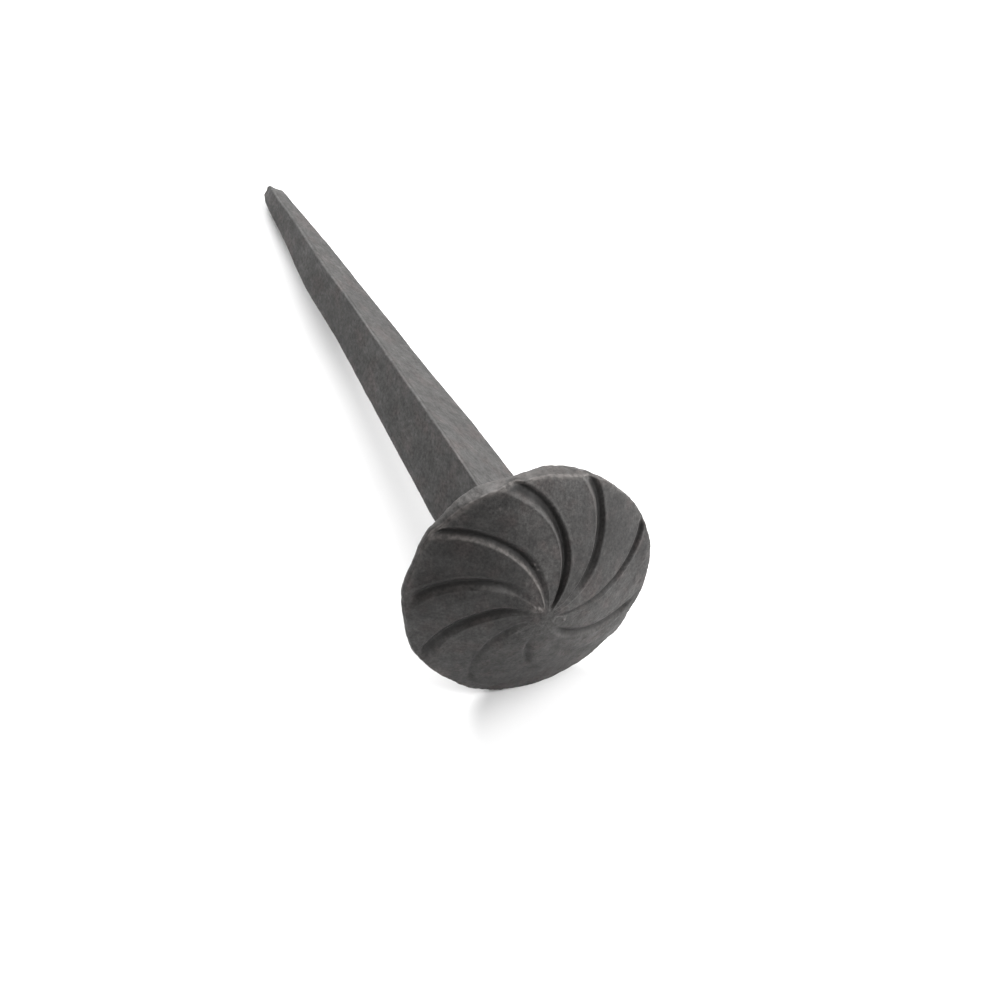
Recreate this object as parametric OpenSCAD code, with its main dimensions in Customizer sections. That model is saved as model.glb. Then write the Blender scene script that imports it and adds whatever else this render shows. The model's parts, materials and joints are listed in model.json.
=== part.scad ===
// Clavo: a hand-forged decorative nail with a domed pinwheel head and a
// square tapered shank. It lies on a level surface, on the head's rim and
// the shank's tip. The origin is on that surface, under the middle of the
// nail. The tip points to +Y and the head faces -Y. Millimetres.

/* [Head] */
// Diameter of the head
head_d = 30; // [26:0.5:40]
// Thickness of the rim, from the seat to the start of the dome
rim_h = 1.6; // [1:0.1:3]
// Height of the dome above the rim
dome_h = 5.6; // [4:0.1:8]
// How much the hammer flats take off the rim's radius
flat_depth = 0.25; // [0.15:0.05:0.5]

/* [Grooves] */
// Width of each groove
groove_w = 1.1; // [0.6:0.1:1.4]
// Depth of each groove below the dome
groove_depth = 0.6; // [0.2:0.05:0.9]
// Radius of the arc that each groove follows, as a share of the head's radius
groove_bend = 0.64; // [0.6:0.02:1.5]

/* [Shank] */
// Length under the head, from the seat to the tip
shank_len = 96.5; // [70:0.5:130]
// Side of the square shank at the head
shank_side = 8.2; // [7:0.1:9]
// Side of the square shank halfway along
middle_side = 5.9; // [5.1:0.05:6.5]
// Side of the square shank where the point starts
point_side = 4.2; // [3:0.1:5]
// Length of the point
point_len = 20; // [12:1:30]
// Side of the square at the blunt tip
tip_side = 2.2; // [1:0.1:2.6]
// Turn of the square shank about its own axis, in degrees
shank_turn = 34; // [0:1:45]

/* [Joint] */
// Depth of the blind square socket in the head that holds the shank's root
socket_depth = 3.4; // [2:0.1:3.6]

/* [Hidden] */
$fn = 96;

iron = [0.27, 0.265, 0.26];
head_r = head_d / 2;
head_h = rim_h + dome_h;

// The dome's profile is near to a cone at the rim and rounded at the apex
dome_power = 1.4;
dome_steps = 10;

// Ten hammer flats, one of them straight down, keep the nail from rolling
flat_count = 10;

// The direction in which each groove leaves the apex, in degrees from +X
// towards the floor. They are struck by eye, so their spacing varies.
groove_angles = [34, 75, 101, 127, 172, 209, 244, 279, 320, 355];
groove_start = 3.3;
groove_arc_r = groove_bend * head_r;

// The shank keeps nearly its full side for a short way below the head
neck_len = 0.18 * shank_len;
neck_side = 0.98 * shank_side;

// Distance across the shank's chamfers, over its side, and where a chamfer
// ends, over half of the side
chamfer_ratio = 1.35;
chamfer_end = chamfer_ratio * sqrt(2) - 1;

// The lowest corner of the tip and the lowest flat of the rim set the angle
// at which the nail lies
tip_reach = tip_side / 2 * max([
    for (turn = [0 : 90 : 270], end = [-chamfer_end, chamfer_end])
        sin(shank_turn + turn) + end * cos(shank_turn + turn)
]);
rest_r = head_r - flat_depth;
lean = atan((rest_r - tip_reach) / shank_len);
seat_y = (head_h - shank_len) / 2 * cos(lean);
seat_z = rest_r * cos(lean);

function dome_at(r) = dome_h * (1 - pow(r / head_r, dome_power));

// Takes a nail modelled along +Z, with its seat at z = 0 and its head below
// that, to the position in which it lies
module lay_down() {
    translate([0, seat_y, seat_z])
        rotate([-(90 + lean), 0, 0])
            children();
}

// The solid between the dome's surface and a flat base
module dome_solid(steps, base_z) {
    surface = [
        for (i = [0 : steps])
            let (r = head_r * i / dome_steps)
            [r, -rim_h - dome_at(r)]
    ];
    edge_r = head_r * steps / dome_steps;
    rotate_extrude()
        polygon(concat(surface, [[edge_r, base_z], [0, base_z]]));
}

module rim_flats() {
    translate([0, 0, -2 * head_h])
        linear_extrude(3 * head_h)
            circle(rest_r / cos(180 / flat_count), $fn = flat_count);
}

// A groove in plan: half of a ring through the apex, leaving it along +X
module groove_plan() {
    reach = 2 * (groove_arc_r + groove_w);
    difference() {
        translate([0, -groove_arc_r])
            difference() {
                circle(groove_arc_r + groove_w / 2);
                circle(groove_arc_r - groove_w / 2);
            }
        translate([-reach, -reach])
            square([reach, 2 * reach]);
        circle(groove_start);
    }
}

// The grooves stay at an even depth below the dome
module groove_cutters() {
    difference() {
        translate([0, 0, -2 * head_h])
            linear_extrude(2 * head_h)
                for (angle = groove_angles)
                    rotate(angle)
                        groove_plan();
        translate([0, 0, groove_depth])
            dome_solid(dome_steps + 1, head_h);
    }
}

// A square with its corners taken off
module chamfered_square(side) {
    intersection() {
        square(side, center = true);
        rotate(45)
            square(chamfer_ratio * side, center = true);
    }
}

module socket() {
    rotate([0, 0, shank_turn])
        translate([0, 0, -socket_depth])
            linear_extrude(socket_depth + rim_h)
                chamfered_square(shank_side);
}

// A slab whose edge is the shank's profile, from its root to its tip. The
// corners change slope a little nearer to the tip than the faces do.
module profile_slab(width_ratio, slope_shift) {
    stations = [
        [shank_side, -socket_depth],
        [shank_side, slope_shift],
        [neck_side, neck_len + slope_shift],
        [middle_side, shank_len / 2 + slope_shift],
        [point_side, shank_len - point_len + slope_shift],
        [tip_side, shank_len]
    ];
    half = [for (s = stations) [width_ratio * s[0] / 2, s[1]]];
    last = len(half) - 1;
    mirrored = [for (i = [last : -1 : 0]) [-half[i][0], half[i][1]]];
    rotate([90, 0, 0])
        linear_extrude(2 * shank_side, center = true)
            polygon(concat(half, mirrored));
}

module head() {
    color(iron)
        lay_down()
            difference() {
                intersection() {
                    dome_solid(dome_steps, 0);
                    rim_flats();
                }
                groove_cutters();
                socket();
            }
}

module shank() {
    color(iron)
        lay_down()
            rotate([0, 0, shank_turn])
                intersection_for(side = [0 : 3])
                    rotate([0, 0, 45 * side])
                        profile_slab(side % 2 == 0 ? 1 : chamfer_ratio, side % 2);
}

head();
shank();
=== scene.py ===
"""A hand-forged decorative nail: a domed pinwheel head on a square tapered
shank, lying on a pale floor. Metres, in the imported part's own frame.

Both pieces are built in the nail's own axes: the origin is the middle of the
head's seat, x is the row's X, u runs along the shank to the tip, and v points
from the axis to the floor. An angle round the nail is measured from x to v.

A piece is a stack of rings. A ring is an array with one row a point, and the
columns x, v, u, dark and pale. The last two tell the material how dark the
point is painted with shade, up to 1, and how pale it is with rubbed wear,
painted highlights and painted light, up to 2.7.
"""

import json
import math

import bmesh
import bpy
import numpy as np
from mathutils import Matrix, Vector, noise


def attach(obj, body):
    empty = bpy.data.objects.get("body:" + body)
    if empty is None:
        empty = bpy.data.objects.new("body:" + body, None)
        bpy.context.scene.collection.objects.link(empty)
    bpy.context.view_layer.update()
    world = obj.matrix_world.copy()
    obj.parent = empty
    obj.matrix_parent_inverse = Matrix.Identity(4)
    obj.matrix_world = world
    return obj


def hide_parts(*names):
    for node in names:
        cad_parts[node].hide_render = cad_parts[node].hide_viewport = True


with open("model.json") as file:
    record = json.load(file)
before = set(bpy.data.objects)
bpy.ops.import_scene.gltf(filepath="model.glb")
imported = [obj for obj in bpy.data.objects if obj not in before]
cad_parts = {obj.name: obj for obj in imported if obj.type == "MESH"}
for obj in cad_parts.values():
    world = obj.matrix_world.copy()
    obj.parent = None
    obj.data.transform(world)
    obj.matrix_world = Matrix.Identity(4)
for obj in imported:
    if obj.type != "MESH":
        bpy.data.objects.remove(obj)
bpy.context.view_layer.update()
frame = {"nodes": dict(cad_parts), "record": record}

MM = 0.001

# The columns of a ring that its material reads
DARK = 3
PALE = 4

# ---------------------------------------------------------------- the frame

SEAT = next(m for m in frame["record"]["mounts"] if m["name"] == "seat")
ORIGIN = np.array(SEAT["pos_m"])
AXIS_X = np.array([1.0, 0.0, 0.0])
AXIS_U = np.array(SEAT["axis"])
AXIS_V = np.cross(AXIS_U, AXIS_X)

# The square of the shank is turned by this much from x towards v
SHANK_TURN = math.radians(34)


def cad_points(node):
    """A CAD node's vertices as columns x, v, u in the nail's own axes."""
    mesh = frame["nodes"][node].data
    points = np.empty(len(mesh.vertices) * 3)
    mesh.vertices.foreach_get("co", points)
    away = points.reshape(-1, 3) - ORIGIN
    return np.stack([away @ AXIS_X, away @ AXIS_V, away @ AXIS_U], axis=1)


def shank_sides(points):
    """Stations (u, half of the side) of the CAD shank, from root to tip."""
    c, s = math.cos(SHANK_TURN), math.sin(SHANK_TURN)
    across = np.abs(points[:, 0] * c + points[:, 1] * s)
    down = np.abs(points[:, 1] * c - points[:, 0] * s)
    halves = {}
    for u, half in zip(points[:, 2], np.maximum(across, down)):
        station = round(u / MM, 1) * MM
        halves[station] = max(halves.get(station, 0), half)
    return np.array(sorted(halves.items()))


HEAD = cad_points("head")
SHANK = cad_points("shank")
HEAD_R = np.hypot(HEAD[:, 0], HEAD[:, 1]).max()
HEAD_H = -HEAD[:, 2].min()
SIDES = shank_sides(SHANK)
ROOT = -SIDES[0, 0]
SHANK_LEN = SIDES[-1, 0]


def half_side(u):
    """Half of the side of the shank's square, at a place along it."""
    return np.interp(u, SIDES[:, 0], SIDES[:, 1])


# ------------------------------------------------------------ small helpers


# How far apart in the noise two seeds lie
SEED_STEP = Vector((7.3, 3.1, 5.7))


def lumps(points, size, seed):
    """Smooth noise from -1 to 1 at each point, with features of that size."""
    shift = SEED_STEP * seed
    return np.array([noise.noise(Vector(p[:3]) / size + shift) for p in points])


def uneven(points, layers):
    """Unevenness in mm at each point. A layer is its height in mm, the size
    of its features in mm, and its seed."""
    return sum(height * lumps(points, size * MM, seed) for height, size, seed in layers)


def smooth(low, high, x):
    """A soft step from 0 at low to 1 at high, whichever of them is larger."""
    t = np.clip((x - low) / (high - low), 0, 1)
    return t * t * (3 - 2 * t)


def hump(middle, width, x):
    """A soft hump, 1 in the middle and almost 0 two widths away."""
    return np.exp(-(((x - middle) / width) ** 2))


def swells(x, humps):
    """The sum of soft humps, each given as its middle, width and height."""
    return sum(height * hump(middle, width, x) for middle, width, height in humps)


def wrap(angle):
    """An angle brought into the half-turn either side of zero."""
    return (angle + math.pi) % (2 * math.pi) - math.pi


def around(angle, stations):
    """A value all the way round the nail, on a smooth curve through the
    (degrees, value) stations."""
    degrees = np.degrees(angle) % 360
    at, value = np.array(stations, dtype=float).T
    at = np.concatenate([at - 360, at, at + 360])
    value = np.tile(value, 3)
    slope = np.gradient(value, at)
    k = np.searchsorted(at, degrees, side="right") - 1
    step = at[k + 1] - at[k]
    t = (degrees - at[k]) / step
    rise = t * t * (3 - 2 * t)
    start_bend = t * (1 - t) ** 2 * step * slope[k]
    end_bend = -(t**2) * (1 - t) * step * slope[k + 1]
    return value[k] * (1 - rise) + value[k + 1] * rise + start_bend + end_bend


def full_turn(count):
    """Evenly spaced angles, one for each point of a ring."""
    return 2 * math.pi * np.arange(count) / count


def ring_of(x, v, u, dark=0.0, pale=0.0):
    """A ring from its columns. A number stands for a whole column."""
    columns = np.broadcast_arrays(x, v, u, dark, pale)
    return np.stack(columns, axis=1).astype(float)


def join(a, count_a, b, count_b):
    """Faces between two rings that start at vertices a and b. Their counts
    are the same, or one is twice the other."""
    if count_a > count_b:
        return join(b, count_b, a, count_a)
    faces = []
    for i in range(count_a):
        j = (i + 1) % count_a
        if count_a == count_b:
            faces.append((a + i, a + j, b + j, b + i))
            continue
        fine = [b + 2 * i, b + 2 * i + 1, b + (2 * i + 2) % count_b]
        faces.append((a + i, fine[0], fine[1]))
        faces.append((a + i, fine[1], a + j))
        faces.append((a + j, fine[1], fine[2]))
    return faces


def skin(name, rings):
    """A closed mesh piece over a stack of rings. The first and the last ring
    are single points. Nothing goes below the floor."""
    starts = np.cumsum([0] + [len(r) for r in rings])
    faces = []
    for k in range(1, len(rings) - 2):
        faces += join(starts[k], len(rings[k]), starts[k + 1], len(rings[k + 1]))
    for pole, ring in ((0, 1), (len(rings) - 1, len(rings) - 2)):
        first, count = starts[ring], len(rings[ring])
        faces += [(starts[pole], first + i, first + (i + 1) % count) for i in range(count)]
    table = np.concatenate(rings)
    placed = ORIGIN + table[:, :3] @ np.array([AXIS_X, AXIS_V, AXIS_U])
    placed[:, 2] = np.maximum(placed[:, 2], 0)
    mesh = bpy.data.meshes.new(name)
    mesh.from_pydata(placed.tolist(), [], faces)
    shape = bmesh.new()
    shape.from_mesh(mesh)
    bmesh.ops.recalc_face_normals(shape, faces=shape.faces)
    shape.to_mesh(mesh)
    shape.free()
    for name_of_mark, column in (("dark", DARK), ("pale", PALE)):
        layer = mesh.attributes.new(name_of_mark, "FLOAT", "POINT")
        layer.data.foreach_set("value", table[:, column].astype(np.float32))
    mesh.shade_smooth()
    piece = bpy.data.objects.new(name, mesh)
    bpy.context.collection.objects.link(piece)
    return piece


# ---------------------------------------------------------- the shank square

CORNER_STEPS = 8
FLAT_STEPS = 24

# The radius of a corner as a share of half of the side
CORNER_SHARE = 0.10

# How much of half of a side is rubbed, next to a corner
RUBBED_SHARE = 0.10


def square_template():
    """For each point of a rounded square: its place on a square of half side
    1, its outward normal, how much it is rubbed, which of the four sides it
    is on, and how far along that side, from -1 to 1."""
    flat = [(-1 + 2 * i / FLAT_STEPS, 0.0) for i in range(FLAT_STEPS)]
    corner = [(1.0, i / CORNER_STEPS) for i in range(CORNER_STEPS)]
    along, lean = np.tile(np.array(flat + corner), (4, 1)).T
    side = np.repeat(np.arange(4), FLAT_STEPS + CORNER_STEPS)
    turn = side * math.pi / 2 + SHANK_TURN
    core = np.stack([np.cos(turn) - np.sin(turn) * along,
                     np.sin(turn) + np.cos(turn) * along], axis=1)
    turn = turn + lean * math.pi / 2
    normal = np.stack([np.cos(turn), np.sin(turn)], axis=1)
    paleness = np.clip(1 - (1 - np.abs(along)) / RUBBED_SHARE, 0, 1)
    return core, normal, paleness, side, along


CORE, NORMAL, RUBBED, SIDE, ALONG = square_template()


def square_reach(angle, half):
    """Distance from the middle to the side of the rounded square."""
    fold = np.abs(wrap(4 * (angle - SHANK_TURN)) / 4)
    fillet = CORNER_SHARE * half
    flat = half / np.cos(fold)
    on_flat = half * np.tan(fold) <= half - fillet
    middle = half - fillet
    to_corner = math.pi / 4 - fold
    m = math.hypot(middle, middle)
    inside = fillet**2 - (m * np.sin(to_corner)) ** 2
    bend = m * np.cos(to_corner) + np.sqrt(np.maximum(inside, 0))
    return np.where(on_flat, flat, bend)


# ----------------------------------------------------------------- the head

# The dome falls by this power of the share of the radius, and stands on the rim
DOME_POWER = 1.4
RIM_H = 1.6 * MM
DOME_H = HEAD_H - RIM_H

# Each groove follows an arc of this radius from the apex to the rim
GROOVE_ARC_R = 0.64 * HEAD_R

# Each groove has two sloping sides, a ramp and a wall. In a row: the direction
# in which it leaves the apex in degrees, its depth as a share of GROOVE_DEPTH,
# the widths of its ramp and of its wall in mm, how many times wider its ramp
# is at the rim, how pale the upper half of its ramp is, with rubbed wear and a
# painted highlight where the ramp faces the lamps, how far its outer end
# strays sideways in mm, and the shares of the head's radius where it starts,
# where it is at its full depth and where it ends
GROOVE_DEPTH = 0.62 * MM
GROOVES = [
    (33, 0.85, 0.48, 0.45, 1.3, 0.3, 0.1, 0.07, 0.20, 1.02),
    (78, 0.85, 1.05, 0.85, 1.0, 0.2, -0.6, 0.16, 0.34, 0.95),
    (101, 0.22, 0.90, 0.80, 1.0, 0.1, 0.0, 0.35, 0.50, 0.88),
    (128, 0.58, 0.80, 0.55, 1.0, 0.3, 0.0, 0.24, 0.38, 0.66),
    (172, 0.48, 0.85, 0.55, 1.0, 0.2, -0.2, 0.12, 0.30, 0.92),
    (208, 0.95, 0.90, 0.70, 1.0, 0.2, -0.5, 0.09, 0.35, 0.99),
    (243, 0.92, 0.80, 0.75, 1.0, 0.7, -0.8, 0.14, 0.50, 0.98),
    (279, 1.12, 0.72, 0.84, 0.8, 2.3, -0.7, 0.05, 0.50, 1.02),
    (320, 1.12, 0.68, 0.65, 1.9, 0.3, -0.5, 0.04, 0.12, 1.20),
    (355, 1.00, 0.68, 0.65, 1.1, 0.5, -0.3, 0.08, 0.50, 1.20),
]

# A groove's width near the apex as a share of its width further out, and the
# share of the head's radius over which its outer end fades
INNER_WIDTH = 0.35
END_FADE = 0.08

# How rounded a groove's bottom is, as a share of its width
BOTTOM = 0.16

# The shares of a groove's depth where its painted shade starts and where it
# is full
SHADE_DEPTHS = (0.2, 0.7)

# Across a groove, in widths of its wall or of its ramp from its bottom: where
# the lips crest, where the ramp's pale band of wear and painted highlight lies,
# and how wide these are
WALL_CREST = 1.25
RAMP_CREST = 0.85
RAMP_PALE = 0.72
CREST_SPREAD = 0.3

# The shares of the head's radius where these start and where they are full: a
# groove's widening, its straying, the flare of its ramp and its lips, the crown
# of the petals, the painted light and shade, and the uneven rim and outline
WIDENING = (0.03, 0.45)
STRAYING = (0.3, 1)
FLARING = (0.5, 1)
LIPS_RISE = (0.04, 0.1)
CROWN_RISE = (0.15, 0.6)
LIGHT_AND_SHADE_RISE = (0.1, 0.4)
RIM_VARIES = (0.45, 1)
OUTLINE_VARIES = (0.6, 1)

# The shares of the radius where the rim's pale mark starts on the dome and is
# full, and where the painted light and shade and the apex's own unevenness fade
# out
RIM_PALE_STARTS = (0.96, 1)
LIGHT_AND_SHADE_FADES = (0.9, 1)
APEX_FADES = (0.08, 0.25)

# The height of the lips beside a groove and of the petals between grooves
LIP = 0.05 * MM
PETAL_CROWN = 0.10 * MM

# How far the forged outline stands out or in, in mm, round the head
OUTLINE = [
    (0, 0.18), (20, 0.12), (36, 0.05), (47, 0.22), (53, 0.00), (63, 0.08),
    (78, 0.20), (90, 0.38), (104, 0.14), (117, 0.38), (135, 0.05), (150, 0.12),
    (165, 0.22), (176, -0.06), (188, 0.10), (198, 0.18), (207, -0.08),
    (220, 0.26), (231, -0.06), (241, 0.10), (250, 0.28), (266, 0.12),
    (280, 0.20), (290, 0.05), (299, -0.02), (310, 0.25), (318, 0.12),
    (330, 0.18), (345, 0.22),
]

# How far the rim's back edge lies inside its front edge, in mm
UNDERCUT = [
    (0, 0.25), (30, 0.0), (60, 0.0), (180, 0.0), (280, 0.0), (290, 0.0),
    (300, 0.12), (312, 0.45), (335, 0.5),
]

# How pale the rim is: rubbed wear all round, and a painted highlight on its
# top, where it faces the lamps
RIM_WEAR_AND_HIGHLIGHT = [
    (0, 0.25), (60, 0.25), (180, 0.25), (205, 0.7), (225, 1.6), (245, 1.6),
    (262, 1.6), (285, 1.6), (300, 1.2), (312, 0.6), (330, 0.35),
]

# How much of that shows on the end of the dome, on the rim's front edge, on its
# wall and on its back edge
DOME_END_PALE = 1.3
FRONT_EDGE_PALE = 1.6
WALL_PALE = 0.5
BACK_EDGE_PALE = 0.8

# How much paler the dome is painted, or darker where it is below zero:
# painted shade on the left and the upper right, and painted light at the lower
# right
LIGHT_AND_SHADE = [
    (9, 0.03), (36, 0.22), (69, 0.28), (95, 0.12), (117, 0.0), (150, -0.1),
    (177, -0.25), (216, -0.5), (249, -0.28), (266, 0.0), (282, 0.15),
    (292, -0.05), (303, -0.3), (345, -0.25),
]

# Small burrs on the dome: the angle round the nail in degrees, and the
# distance from the axis, the size and the height in mm
BURRS = [
    (208, 1.72, 0.30, 0.26), (215, 1.42, 0.30, 0.24), (214, 1.02, 0.26, 0.14),
    (48, 3.00, 0.20, 0.22), (263, 5.95, 0.18, 0.22), (265, 5.30, 0.15, 0.16),
    (255, 13.5, 0.16, 0.10), (335, 8.90, 0.15, 0.10), (148, 4.30, 0.20, 0.07),
    (117, 5.80, 0.22, 0.07), (244, 3.40, 0.20, 0.08), (243, 4.60, 0.22, 0.08),
]

# The rim's thickness, and how far its back edge is bent, in mm
RIM = [
    (0, 1.5), (60, 1.5), (120, 1.4), (180, 1.2), (215, 0.8), (230, 0.9),
    (245, 1.5), (262, 2.1), (285, 2.0), (303, 1.6), (325, 1.3),
]
BACK = [
    (0, 0.0), (60, 0.0), (180, 0.0), (210, 0.1), (247, 0.5), (268, -0.4),
    (285, 0.25), (312, 0.3), (335, 0.0),
]

# How uneven the outline, the dome, the apex, the rim's edge, its wall and the
# underside are, in layers for uneven()
OUTLINE_LAYERS = [(0.05, 1.4, 8), (0.03, 0.6, 9)]
DOME_LAYERS = [(0.12, 5.0, 1), (0.07, 1.9, 2), (0.028, 0.7, 3)]
APEX_LAYERS = [(0.06, 0.5, 14)]
NICK_LAYERS = [(0.08, 0.5, 15)]
WALL_LAYERS = [(0.10, 2.2, 4), (0.07, 0.8, 5)]
UNDERSIDE_LAYERS = [(0.07, 4.0, 6), (0.03, 1.3, 7)]

# The rounded edges of the rim, and how many rings each part of the head has
FRONT_EDGE_R = 0.30 * MM
BACK_EDGE_R = 0.22 * MM
RING_STEP = 0.126 * MM
FRONT_EDGE_STEPS = 5
WALL_STEPS = 8
BACK_EDGE_STEPS = 4
UNDERSIDE_STEPS = 20
SOCKET_STEPS = 6

# How far the rim's wall stands out halfway between its edges, and the least
# height that it has
WALL_SWELL = 0.07 * MM
WALL_LEAST = 0.1 * MM

# How far the uneven underside lies back from the seat on average, in mm. On the
# way from the rim to the socket, first the bend of the back edge and then the
# unevenness fade out between these shares of the way
UNDERSIDE_BACK = 0.05
BEND_FADES = (0, 0.45)
LUMPS_FADE = (0.8, 0.97)

# The socket is wider and deeper than the shank's root by this much
SOCKET_GAP = 0.01 * MM

# How far the apex strays from the nail's axis, along x and v, and how far it
# stands above the first ring round it
APEX = (-0.35 * MM, 0.35 * MM)
APEX_RISE = 0.01 * MM


def outline(angle):
    """The head's radius round its rim, with a ragged edge."""
    circle = ring_of(HEAD_R * np.cos(angle), HEAD_R * np.sin(angle), 0)
    return HEAD_R + (around(angle, OUTLINE) + uneven(circle, OUTLINE_LAYERS)) * MM


def points_at(radius):
    """How many points a ring of the head has, fewer near the middle."""
    for limit, count in ((0.5, 80), (1.1, 160), (2.4, 320)):
        if radius < limit * MM:
            return count
    return 640


def groove_section(across, ramp_width, wall_width):
    """Depth across a groove, 1 at its rounded bottom and 0 outside it."""
    x = np.where(across < 0, across / ramp_width, across / wall_width)
    return np.clip((1 - np.sqrt(x * x + BOTTOM**2)) / (1 - BOTTOM), 0, 1)


def grooves_at(start, radius):
    """For points on arcs that leave the apex in the directions start: the
    depth of the grooves, the painted shade in them, the height of their lips,
    and how pale their ramps are, with rubbed wear and painted highlights."""
    share = radius / HEAD_R
    across = radius * math.sqrt(1 - min(radius / (2 * GROOVE_ARC_R), 1) ** 2)
    scale = MM * (INNER_WIDTH + (1 - INNER_WIDTH) * smooth(*WIDENING, share))
    depth = np.zeros_like(start)
    painted_shade = np.zeros_like(start)
    lip = np.zeros_like(start)
    pale = np.zeros_like(start)
    for degrees, deep, ramp_mm, wall_mm, flare, ramp_wear_and_light, stray, begins, full, ends in GROOVES:
        offset = across * wrap(start - math.radians(degrees))
        offset = offset - stray * MM * smooth(*STRAYING, share)
        ramp_width = ramp_mm * scale * (1 + (flare - 1) * smooth(*FLARING, share))
        wall_width = wall_mm * scale
        section = groove_section(offset, ramp_width, wall_width)
        outer_end = 1 - smooth(ends - END_FADE, ends, share)
        fade = smooth(begins, full, share) * outer_end
        depth = np.maximum(depth, deep * fade * section)
        # Painted shade, darker towards the groove's bottom
        painted_shade = np.maximum(painted_shade, min(deep, 1) * fade * smooth(*SHADE_DEPTHS, section))
        # The crests beside the groove run on nearer to the apex than it does
        run = smooth(*LIPS_RISE, share) * outer_end
        wall_crest = hump(WALL_CREST, CREST_SPREAD, offset / wall_width)
        ramp_crest = hump(RAMP_CREST, CREST_SPREAD, -offset / ramp_width)
        lip = np.maximum(lip, min(deep, 1) * run * np.maximum(wall_crest, ramp_crest))
        # A pale band on the ramp: rubbed wear and a painted highlight where the ramp faces
        # the lamps
        ramp_band = hump(RAMP_PALE, CREST_SPREAD, -offset / ramp_width)
        pale = np.maximum(pale, ramp_wear_and_light * run * ramp_band)
    return depth, painted_shade, lip, pale


# How pale a burr is rubbed, for each mm of its height
BURR_RUB = 16


def burrs_at(x, v):
    """Height in mm of the small burrs at points of the dome."""
    height = np.zeros_like(x)
    for degrees, r, size, tall in BURRS:
        angle = math.radians(degrees)
        away = np.hypot(x - r * MM * math.cos(angle), v - r * MM * math.sin(angle))
        height = np.maximum(height, tall * hump(0, size * MM, away))
    return height


def petal_crown(start):
    """1 along the middle of each petal and 0 in the grooves beside it."""
    at = np.radians([g[0] for g in GROOVES])
    at = np.concatenate([at[-1:] - 2 * math.pi, at, at[:1] + 2 * math.pi])
    k = np.searchsorted(at, start % (2 * math.pi), side="right") - 1
    across = (start % (2 * math.pi) - at[k]) / (at[k + 1] - at[k])
    return 4 * across * (1 - across)


def front_ring(radius):
    """A ring on the dome. Its points lie on the same arcs as the grooves."""
    start = full_turn(points_at(radius))
    angle = start - math.asin(radius / (2 * GROOVE_ARC_R))
    share = radius / HEAD_R
    depth, painted_shade, lip, pale = grooves_at(start, radius)
    r = radius + (outline(angle) - HEAD_R) * smooth(*OUTLINE_VARIES, share)
    stray = (1 - share) ** 2
    x = r * np.cos(angle) + APEX[0] * stray
    v = r * np.sin(angle) + APEX[1] * stray
    rim = RIM_H + (around(angle, RIM) * MM - RIM_H) * smooth(*RIM_VARIES, share)
    dome = DOME_H * (1 - share**DOME_POWER)
    crown = PETAL_CROWN * petal_crown(start) * smooth(*CROWN_RISE, share)
    burr = burrs_at(x, v)
    u = -rim - dome - crown + GROOVE_DEPTH * depth - LIP * lip - MM * burr
    # A painted highlight at the dome's end on the top of the rim, with rubbed wear
    rim_wear_and_highlight = DOME_END_PALE * around(angle, RIM_WEAR_AND_HIGHLIGHT) * smooth(*RIM_PALE_STARTS, share)
    paleness = np.maximum(pale, rim_wear_and_highlight)
    paleness = np.maximum(paleness, np.clip(BURR_RUB * burr, 0, 2))
    # Painted light and shade round the dome: paler at the lower right, darker on the left
    light_and_shade = around(angle, LIGHT_AND_SHADE) * smooth(*LIGHT_AND_SHADE_RISE, share)
    light_and_shade = light_and_shade * (1 - smooth(*LIGHT_AND_SHADE_FADES, share))
    # The dark mark is painted shade, in the grooves and on the darker petals; the pale mark
    # takes the painted light
    dark = np.maximum(painted_shade * (1 - 0.5 * np.clip(pale, 0, 1)), -light_and_shade)
    ring = ring_of(x, v, u, dark, np.maximum(paleness, light_and_shade))
    rough = uneven(ring, DOME_LAYERS)
    rough += uneven(ring, APEX_LAYERS) * (1 - smooth(*APEX_FADES, share))
    ring[:, 2] -= rough * MM * (1 - 0.5 * np.minimum(depth, 1))
    return ring


def moved(ring, outwards, along, pale=None):
    """A copy of a ring, moved out from the axis and along it."""
    copy = ring.copy()
    r = np.hypot(ring[:, 0], ring[:, 1])
    copy[:, :2] *= ((r + outwards) / r)[:, None]
    copy[:, 2] += along
    if pale is not None:
        copy[:, PALE] = pale
    return copy


def front_rings():
    """The dome, from the apex to the start of the rim's rounded edge."""
    last = HEAD_R - FRONT_EDGE_R * (1 - math.sin(edge_slope()))
    count = round(last / RING_STEP)
    rings = [front_ring(last * k / count) for k in range(2, count + 1)]
    x, v, u = rings[0][:, :3].mean(axis=0)
    apex = ring_of(np.full(1, x), v, u - APEX_RISE)
    return [apex] + rings


def edge_slope():
    """The dome's slope at the rim."""
    return math.atan(DOME_POWER * DOME_H / HEAD_R)


def front_edge_rings(dome_edge, room, paleness):
    """The rim's rounded front edge. It comes no nearer to the seat than room."""
    rings = []
    slope = edge_slope()
    for k in range(1, FRONT_EDGE_STEPS + 1):
        t = k / FRONT_EDGE_STEPS
        lean = slope + (math.pi / 2 - slope) * t
        out = FRONT_EDGE_R * (math.sin(lean) - math.sin(slope))
        along = FRONT_EDGE_R * (math.cos(slope) - math.cos(lean))
        # A painted highlight along the front edge, with rubbed wear
        ring = moved(dome_edge, out, along, pale=FRONT_EDGE_PALE * paleness)
        ring[:, 2] = np.minimum(ring[:, 2], room)
        nicks = uneven(ring, NICK_LAYERS) * MM * math.sin(math.pi * t)
        rings.append(moved(ring, nicks, 0))
    return rings


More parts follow.
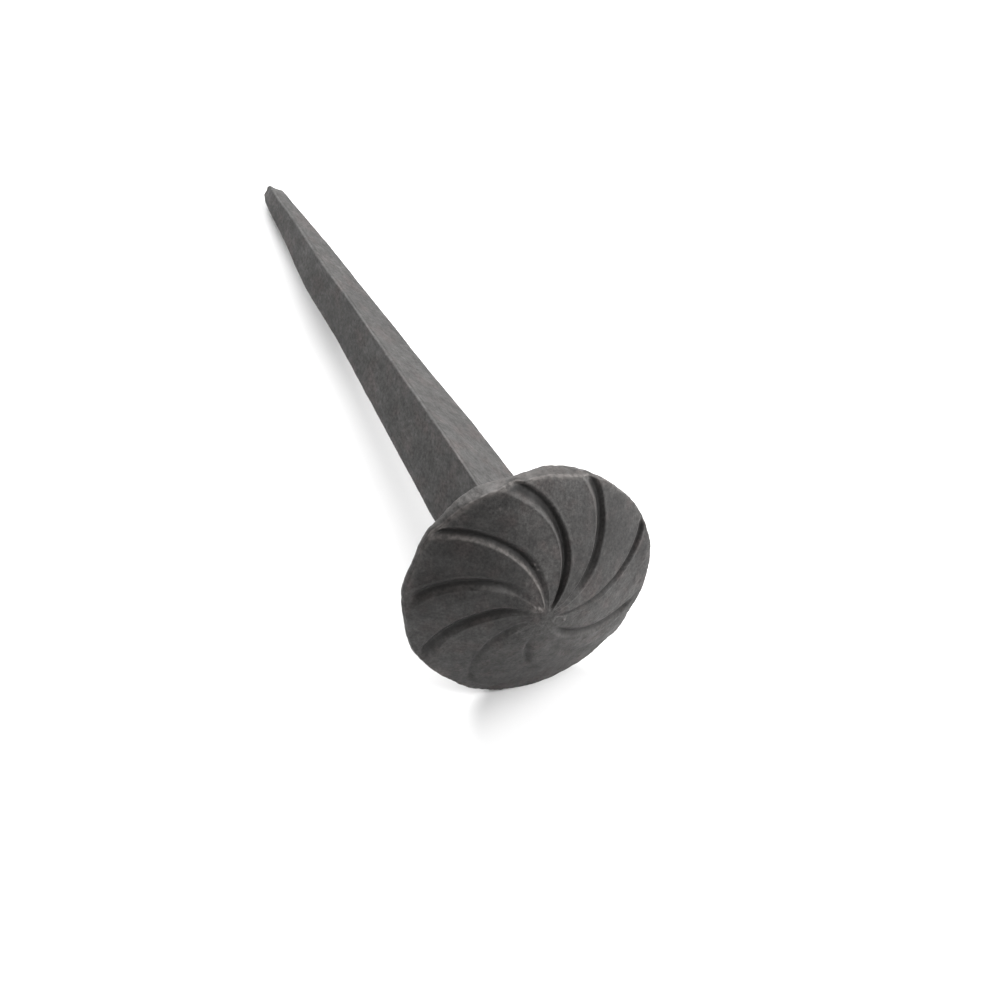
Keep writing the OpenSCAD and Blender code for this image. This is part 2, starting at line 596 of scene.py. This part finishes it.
def wall_rings(top, bottom, paleness):
    """The rim's wall between two rings, a little swollen and rough."""
    rings = []
    for k in range(1, WALL_STEPS + 1):
        t = k / WALL_STEPS
        ring = top * (1 - t) + bottom * t
        # The grooves' painted shade fades down the wall, and the wall takes a fainter
        # painted highlight with its rubbed wear
        ring[:, DARK] = top[:, DARK] * (1 - t) ** 3
        ring[:, PALE] = WALL_PALE * paleness
        rough = uneven(ring, WALL_LAYERS) * MM * math.sin(math.pi * min(t, 0.5))
        swell = WALL_SWELL * math.sin(math.pi * t)
        rings.append(moved(ring, swell + rough, 0))
    return rings


def back_edge_rings(wall_end, paleness):
    """The rim's rounded back edge."""
    rings = []
    for k in range(1, BACK_EDGE_STEPS + 1):
        lean = math.pi / 2 * k / BACK_EDGE_STEPS
        inwards = -BACK_EDGE_R * (1 - math.cos(lean))
        along = BACK_EDGE_R * math.sin(lean)
        # A painted highlight along the back edge, with rubbed wear
        rings.append(moved(wall_end, inwards, along, pale=BACK_EDGE_PALE * paleness))
    return rings


def rim_rings(dome_edge):
    """The rim, from the end of the dome to the start of the underside."""
    angle = np.arctan2(dome_edge[:, 1], dome_edge[:, 0])
    paleness = around(angle, RIM_WEAR_AND_HIGHLIGHT)
    wall_foot = around(angle, BACK) * MM - BACK_EDGE_R
    rings = front_edge_rings(dome_edge, wall_foot - WALL_LEAST, paleness)
    top = rings[-1]
    bottom = moved(top, -around(angle, UNDERCUT) * MM, 0)
    bottom[:, 2] = wall_foot
    rings += wall_rings(top, bottom, paleness)
    return rings + back_edge_rings(rings[-1], paleness)


def underside_rings(rim_end):
    """The flat underside, from the rim in to the mouth of the socket."""
    angle = np.arctan2(rim_end[:, 1], rim_end[:, 0])
    outer = np.hypot(rim_end[:, 0], rim_end[:, 1])
    inner = square_reach(angle, half_side(0) + SOCKET_GAP)
    rings = []
    for k in range(1, UNDERSIDE_STEPS + 1):
        t = k / UNDERSIDE_STEPS
        r = outer * (1 - t) + inner * t
        u = rim_end[:, 2] * (1 - smooth(*BEND_FADES, t))
        ring = ring_of(r * np.cos(angle), r * np.sin(angle), u)
        rough = uneven(ring, UNDERSIDE_LAYERS) - UNDERSIDE_BACK
        ring[:, 2] += rough * MM * (1 - smooth(*LUMPS_FADE, t))
        rings.append(ring)
    return rings


def socket_rings(mouth):
    """The blind square socket, closed by its floor."""
    rings = []
    for k in range(1, SOCKET_STEPS + 1):
        ring = mouth.copy()
        ring[:, 2] = -(ROOT + SOCKET_GAP) * k / SOCKET_STEPS
        rings.append(ring)
    end = rings[-1]
    for share, skipped in ((0.8, 2), (0.55, 4), (0.3, 8), (0.12, 16)):
        ring = end[::skipped].copy()
        ring[:, :2] *= share
        rings.append(ring)
    return rings + [ring_of(np.zeros(1), 0, end[0, 2])]


def make_head():
    """The head, from its apex round the rim to the floor of the socket."""
    rings = front_rings()
    rings += rim_rings(rings[-1])
    rings += underside_rings(rings[-1])
    rings += socket_rings(rings[-1])
    return skin("forged_head", rings)


# ---------------------------------------------------------------- the shank

SHANK_STEP = 0.27 * MM
POINT_STEP = 0.10 * MM
ROOT_STEPS = 6

# The bar flares by this much where it meets the head, over this length
FLARE = 0.55 * MM
FLARE_LEN = 1.1 * MM

# Where the bar is fuller than an even taper, and where it bends back, each as
# a share of its length, how far round that place, and by how many mm
FULLNESS = [(0.34, 0.09, 0.08), (0.70, 0.075, 0.10)]
BENDS = [(0.94, 0.035, 0.10), (0.72, 0.09, 0.24)]

# The bar bows to one side by BOW * k * (1 - k)**4 mm, at the share k of its
# length
BOW = 2.6

# The hammered faces in layers: the height in mm, the size in mm, the seed, and
# how many times longer than wide
HAMMER_LAYERS = [(0.10, 5.0, 11, 2.2), (0.05, 2.0, 12, 1.5), (0.02, 0.6, 13, 1.0)]

# The hammer marks are shallower where half of the side is less than this
HAMMERED_HALF = 3 * MM

# How much the corners are rubbed, all along and also near the head, and the
# shares of the length where the second of these starts and where it is full
RUBBED_BAR = 0.04
RUBBED_NEAR_HEAD = 0.4
NEAR_HEAD = (0.25, 0.05)

# How much larger the radius of a worn corner is as a share of half of the side,
# for each step of wear, how many steps the tip has, and how much it is rubbed
WORN_CORNER = 0.06
TIP_WORN = 4
TIP_RUBBED = 0.1

# The shares of the length between which the first step of wear sets in, and
# between which the others do
FIRST_WEAR = (0.15, 0.45)
END_WEAR = (0.6, 1)

# The blunt tip. Its cap rounds it off, its ridge is worn down over the length
# TIP_REACH, a nib stands up beside the ridge with a notch to its right, the
# shoulder falls away to the right, and the left side leans in.
TIP_CAP = 0.90 * MM
TIP_REACH = 4.0 * MM
TIP_HALF = SIDES[-1, 1]
WEAR = 0.35 * MM
NIB = 0.38 * MM
NIB_AT = (-0.50 * MM, -0.80 * MM)
NIB_SIZE = 0.38 * MM
NOTCH = 0.30 * MM
NOTCH_AT = (0.25 * MM, -0.80 * MM)
NOTCH_SIZE = 0.30 * MM
SHOULDER = 0.78 * MM
LEAN_IN = 0.24 * MM

# How far from the end the nib and notch start, how far from it the left side
# starts to lean, and how far from it all of them are full
NIB_START = 1.6 * MM
LEAN_START = 2.6 * MM
END_FULL = 0.6 * MM

# Where the shoulder and the lean start and are full along x, and where the wear
# of the ridge does along v, from the middle and in halves of the tip's side
SHOULDER_X = (-0.2, 1.1)
LEAN_X = (0.2, -0.8)
WEAR_V = (0.2, -1.2)

# The side of the square with a shallow hollow beside its ridge, the hollow's
# depth, and its middle and width, first across the side, which runs from -1 to
# 1, and then as shares of the length
HOLLOW_SIDE = 2
HOLLOW = 0.12 * MM
HOLLOW_ACROSS = (0.5, 0.4)
HOLLOW_ALONG = (0.45, 0.25)

# A small bright scar on the same side, at x, v and u
SCAR_AT = (-1.69 * MM, -4.68 * MM, 17.5 * MM)
SCAR_SIZE = 0.30 * MM
SCAR_RUB = 2


def bow(u):
    """How far the forged shank strays to one side, along x."""
    k = np.clip(u / SHANK_LEN, 0, 1)
    return MM * (BOW * k * (1 - k) ** 4 - swells(k, BENDS))


def square_ring(u, half, corner_share):
    """A ring of the shank: a rounded square, turned and bowed."""
    fillet = corner_share * half
    flat = CORE * (half - fillet) + NORMAL * fillet
    amount = RUBBED_BAR + RUBBED_NEAR_HEAD * smooth(*NEAR_HEAD, u / SHANK_LEN)
    return ring_of(flat[:, 0] + bow(u), flat[:, 1], u, pale=RUBBED * amount)


def hammered(ring, u):
    """The ring with the unevenness that hammering leaves on its faces."""
    scale = min(1, half_side(u) / HAMMERED_HALF)
    facet = sum(height * lumps(ring / [1, 1, stretch, 1, 1], size * MM, seed)
                for height, size, seed, stretch in HAMMER_LAYERS)
    hollow = (SIDE == HOLLOW_SIDE) * hump(*HOLLOW_ACROSS, ALONG) * (1 - ALONG**4)
    hollow = hollow * hump(*HOLLOW_ALONG, u / SHANK_LEN)
    ring[:, :2] += NORMAL * (facet * MM * scale - HOLLOW * hollow)[:, None]
    return ring


def near_to(ring, place, size):
    """1 at a place and almost 0 two sizes away from it."""
    away = ring[:, :len(place)] - place
    return hump(0, size, np.sqrt((away**2).sum(axis=1)))


def tip_shaped(ring):
    """The ring with the tip's uneven end, if it is near there."""
    near = smooth(SHANK_LEN - TIP_REACH, SHANK_LEN, ring[:, 2])
    end = smooth(SHANK_LEN - NIB_START, SHANK_LEN - END_FULL, ring[:, 2])
    inwards = smooth(SHANK_LEN - LEAN_START, SHANK_LEN - END_FULL, ring[:, 2])
    across = (ring[:, 0] - bow(SHANK_LEN)) / TIP_HALF
    nib = NIB * near_to(ring, NIB_AT, NIB_SIZE)
    notch = NOTCH * near_to(ring, NOTCH_AT, NOTCH_SIZE)
    rise = end * (nib - notch) - SHOULDER * near * smooth(*SHOULDER_X, across)
    ring[:, 0] += LEAN_IN * inwards * smooth(*LEAN_X, across)
    ring[:, 1] += WEAR * near * smooth(*WEAR_V, ring[:, 1] / TIP_HALF)
    ring[:, 2] += rise
    return ring


def root_rings():
    """The root in the socket, from its end up to the seat."""
    half = half_side(0)
    rings = []
    for share, skipped in ((0.2, 8), (0.45, 4), (0.8, 2)):
        ring = square_ring(-ROOT, half * share, CORNER_SHARE)
        rings.append(ring[::skipped])
    for u in np.linspace(-ROOT, 0, ROOT_STEPS + 1):
        rings.append(square_ring(u, half, CORNER_SHARE))
    return [ring_of(np.zeros(1), 0, -ROOT)] + rings


def bar_rings():
    """The bar from the seat, where it flares a little, to the tip's cap."""
    end = SHANK_LEN - TIP_CAP
    point = end - TIP_REACH
    stations = np.concatenate([
        np.linspace(0, point, round(point / SHANK_STEP) + 1),
        np.linspace(point, end, round(TIP_REACH / POINT_STEP) + 1)[1:],
    ])
    rings = []
    for u in stations:
        k = u / SHANK_LEN
        flare = FLARE * (1 - math.sqrt(max(0, 1 - (1 - min(u / FLARE_LEN, 1)) ** 2)))
        worn = smooth(*FIRST_WEAR, k) + (TIP_WORN - 1) * smooth(*END_WEAR, k)
        half = half_side(u) + flare + MM * swells(k, FULLNESS)
        ring = square_ring(u, half, CORNER_SHARE + WORN_CORNER * worn)
        fixed = ring.copy()
        away = smooth(0, 2 * FLARE_LEN, u)
        ring = fixed * (1 - away) + hammered(ring, u) * away
        ring[:, PALE] += SCAR_RUB * near_to(ring, SCAR_AT, SCAR_SIZE)
        rings.append(tip_shaped(ring))
    return rings


def tip_rings():
    """The blunt tip's cap, closed by a point."""
    end = SHANK_LEN - TIP_CAP
    corner = CORNER_SHARE + WORN_CORNER * TIP_WORN
    base = hammered(square_ring(end, half_side(end), corner), end)
    middle = base[:, :2].mean(axis=0)
    rings = []
    for degrees, skipped in ((15, 1), (30, 1), (43, 2), (55, 2), (66, 4), (76, 4), (84, 8)):
        lean = math.radians(degrees)
        ring = base[::skipped].copy()
        ring[:, :2] = middle + (ring[:, :2] - middle) * math.cos(lean)
        ring[:, 2] += TIP_CAP * math.sin(lean)
        ring[:, PALE] = TIP_RUBBED
        rings.append(tip_shaped(ring))
    top = ring_of(middle[:1], middle[1:], SHANK_LEN)
    return rings + [tip_shaped(top)]


def make_shank():
    """The shank, from the end of its root to the tip."""
    rings = root_rings()
    rings += bar_rings()
    rings += tip_rings()
    return skin("forged_shank", rings)


# ----------------------------------------------------------------- material

# The sizes of the iron's patches, stains, mottling, speckle, spots in its pale
# marks, sheen and pits
PATCH = 3.2 * MM
STAIN = 2.3 * MM
MOTTLE = 0.9 * MM
SPECKLE = 0.32 * MM
PALE_SPOT = 0.7 * MM
SHEEN = 1.5 * MM
PIT = 0.33 * MM
PIT_DEPTH = 0.06 * MM

# The two greys of each piece
HEAD_GREYS = (0.0335, 0.0320, 0.0311, 1.0), (0.0484, 0.0463, 0.0449, 1.0)
SHANK_GREYS = (0.0372, 0.0358, 0.0348, 1.0), (0.0530, 0.0510, 0.0495, 1.0)

# How strongly the dark and pale marks show, and what the stains, the painted
# shade and the pale marks of rubbed wear and painted highlight multiply the red,
# green and blue of a grey by
DARK_SHOWS = 0.85
PALE_SHOWS = 0.5
STAIN_TINT = (1.16, 0.97, 0.96)
SHADE_TINT = (0.4, 0.4, 0.4)
PALE_TINT = (2.5, 2.4, 2.35)

# How much longer than wide the grain is on each piece
HEAD_STRETCH = 1.0
SHANK_STRETCH = 1.8


def add(tree, kind, inputs, **settings):
    """A new node. An input is a number, a colour or another node's output."""
    node = tree.nodes.new(kind)
    for name, value in settings.items():
        setattr(node, name, value)
    for key, value in inputs.items():
        socket = node.inputs[key]
        if isinstance(value, bpy.types.NodeSocket):
            tree.links.new(value, socket)
        else:
            socket.default_value = value
    return node


def squeezed_place(tree, stretch):
    """The place on the piece. Noise made from it is stretched along Y."""
    place = add(tree, "ShaderNodeTexCoord", {}).outputs["Object"]
    look = {0: place, 1: (1.0, 1 / stretch, 1.0)}
    return add(tree, "ShaderNodeVectorMath", look, operation="MULTIPLY").outputs["Vector"]


def grain(tree, place, size, detail, roughness=0.55):
    """Noise with features of that size."""
    look = {"Vector": place, "Scale": 1 / size, "Detail": detail, "Roughness": roughness}
    return add(tree, "ShaderNodeTexNoise", look).outputs["Fac"]


def ramp(tree, value, low, high, out_low=0.0, out_high=1.0):
    """The value from low to high brought to out_low to out_high."""
    look = {"Value": value, "From Min": low, "From Max": high,
            "To Min": out_low, "To Max": out_high}
    return add(tree, "ShaderNodeMapRange", look).outputs["Result"]


def times(tree, a, b):
    """Two values multiplied."""
    return add(tree, "ShaderNodeMath", {0: a, 1: b}, operation="MULTIPLY").outputs["Value"]


def mark(tree, name):
    """One of the two marks that the mesh keeps for its material."""
    return add(tree, "ShaderNodeAttribute", {}, attribute_name=name).outputs["Fac"]


def mixed(tree, amount, a, b, blend="MIX"):
    """Two colours mixed. Inputs 6 and 7 and output 2 are the node's colours."""
    look = {0: amount, 6: a, 7: b}
    return add(tree, "ShaderNodeMix", look, data_type="RGBA", blend_type=blend).outputs[2]


def tinted(colour, red, green, blue):
    """A colour with its red, green and blue scaled."""
    return (colour[0] * red, colour[1] * green, colour[2] * blue, 1.0)


def iron_colour(tree, place, dark, light):
    """Two greys in soft patches with warm stains, under a fine grain. Painted
    shade darkens it, and rubbed wear, painted highlights and painted light make it
    paler."""
    patches = ramp(tree, grain(tree, place, PATCH, 4), 0.35, 0.65)
    colour = mixed(tree, patches, dark, light)
    stains = ramp(tree, grain(tree, place, STAIN, 2), 0.50, 0.70, 0.0, 0.6)
    colour = mixed(tree, stains, colour, tinted(light, *STAIN_TINT))
    mottle = ramp(tree, grain(tree, place, MOTTLE, 3), 0.3, 0.7, 0.76, 1.24)
    colour = mixed(tree, 1.0, colour, mottle, "MULTIPLY")
    speckle = ramp(tree, grain(tree, place, SPECKLE, 3, 0.65), 0.3, 0.7, 0.54, 1.46)
    colour = mixed(tree, 1.0, colour, speckle, "MULTIPLY")
    # The dark mark: painted shade in the grooves and on the darker petals
    painted_shade = times(tree, mark(tree, "dark"), DARK_SHOWS)
    colour = mixed(tree, painted_shade, colour, tinted(dark, *SHADE_TINT))
    # The pale mark: rubbed wear, painted highlights and painted light
    paleness = ramp(tree, grain(tree, place, PALE_SPOT, 3), 0.35, 0.65, 0.15, 1.0)
    paleness = times(tree, paleness, mark(tree, "pale"))
    return mixed(tree, times(tree, paleness, PALE_SHOWS), colour, tinted(light, *PALE_TINT))


def forged_iron(name, greys, stretch):
    """Dark matt forge scale, with its grain stretched along Y."""
    material = bpy.data.materials.new(name)
    material.use_nodes = True
    tree = material.node_tree
    shader = tree.nodes["Principled BSDF"]
    shader.inputs["Metallic"].default_value = 0.2
    shader.inputs["IOR"].default_value = 1.5
    shader.inputs["Specular IOR Level"].default_value = 0.4
    place = squeezed_place(tree, stretch)
    tree.links.new(iron_colour(tree, place, *greys), shader.inputs["Base Color"])
    roughness = ramp(tree, grain(tree, place, SHEEN, 4), 0.3, 0.7, 0.52, 0.70)
    tree.links.new(roughness, shader.inputs["Roughness"])
    height = grain(tree, place, PIT, 3, 0.6)
    pits = {"Height": height, "Strength": 0.8, "Distance": PIT_DEPTH}
    bump = add(tree, "ShaderNodeBump", pits)
    tree.links.new(bump.outputs["Normal"], shader.inputs["Normal"])
    return material


# ---------------------------------------------------------- floor and light

WHITE = (0.9, 0.9, 0.9, 1.0)
FLOOR_REACH = 3.0
WORLD_LIGHT = 0.032


def make_floor():
    """A wide pale floor."""
    shape = bmesh.new()
    bmesh.ops.create_grid(shape, x_segments=8, y_segments=8, size=FLOOR_REACH)
    mesh = bpy.data.meshes.new("floor")
    shape.to_mesh(mesh)
    shape.free()
    floor = bpy.data.objects.new("floor", mesh)
    bpy.context.collection.objects.link(floor)
    material = bpy.data.materials.new("floor_white")
    material.use_nodes = True
    shader = material.node_tree.nodes["Principled BSDF"]
    shader.inputs["Base Color"].default_value = WHITE
    shader.inputs["Roughness"].default_value = 0.9
    shader.inputs["Specular IOR Level"].default_value = 0.1
    mesh.materials.append(material)
    return floor


def towards(place, target):
    """The rotation that turns a camera or lamp at place to look at target."""
    return (Vector(target) - Vector(place)).to_track_quat("-Z", "Y").to_euler()


# Each lamp: its azimuth from +X towards +Y and its elevation in degrees, and
# its power in watts
LAMPS = {
    "low_right": (0, 15, 8.4),
    "back": (90, 38, 12.2),
    "front_right": (315, 38, 7.35),
    "high_right": (0, 62, 3.35),
}
LAMP_SIZE = 0.55
LAMP_DISTANCE = 0.9
LIT_POINT = Vector((0, -0.01, 0.01))


def make_lamp(name, azimuth, elevation, power):
    """A round soft box that faces the nail."""
    lamp = bpy.data.lights.new(name, "AREA")
    lamp.shape = "DISK"
    lamp.size = LAMP_SIZE
    lamp.energy = power
    a, e = math.radians(azimuth), math.radians(elevation)
    away = Vector((math.cos(e) * math.cos(a), math.cos(e) * math.sin(a), math.sin(e)))
    holder = bpy.data.objects.new(name, lamp)
    holder.location = LIT_POINT + LAMP_DISTANCE * away
    holder.rotation_euler = towards(holder.location, LIT_POINT)
    bpy.context.collection.objects.link(holder)


def make_world():
    """A faint even light from all round."""
    world = bpy.data.worlds.new("studio")
    world.use_nodes = True
    sky = world.node_tree.nodes["Background"]
    sky.inputs["Color"].default_value = (1.0, 1.0, 1.0, 1.0)
    sky.inputs["Strength"].default_value = WORLD_LIGHT
    bpy.context.scene.world = world


# The camera looks at a point given from the floor under the seat's middle
AIM = Vector((1.17 * MM, ORIGIN[1] + 10.29 * MM, 17.0 * MM))
AZIMUTH = math.radians(-21.98)
ELEVATION = math.radians(44.95)
DISTANCE = 292.6 * MM
LENS = 90
SENSOR = 36


def make_camera():
    """The camera, at its distance from the point that it looks at."""
    back = Vector((
        math.sin(AZIMUTH) * math.cos(ELEVATION),
        -math.cos(AZIMUTH) * math.cos(ELEVATION),
        math.sin(ELEVATION),
    ))
    camera = bpy.data.cameras.new("camera")
    camera.lens = LENS
    camera.sensor_width = SENSOR
    camera.clip_start = 0.01
    camera.clip_end = 10
    holder = bpy.data.objects.new("camera", camera)
    holder.location = AIM + DISTANCE * back
    holder.rotation_euler = towards(holder.location, AIM)
    bpy.context.collection.objects.link(holder)
    bpy.context.scene.camera = holder


# ---------------------------------------------------------------- the scene

head = make_head()
head.data.materials.append(forged_iron("forged_head", HEAD_GREYS, HEAD_STRETCH))
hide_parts("head")
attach(head, "root")

shank = make_shank()
shank.data.materials.append(forged_iron("forged_shank", SHANK_GREYS, SHANK_STRETCH))
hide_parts("shank")
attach(shank, "root")

floor = make_floor()
make_world()
for name, (azimuth, elevation, power) in LAMPS.items():
    make_lamp(name, azimuth, elevation, power)
make_camera()
bpy.context.scene.view_settings.view_transform = "Standard"
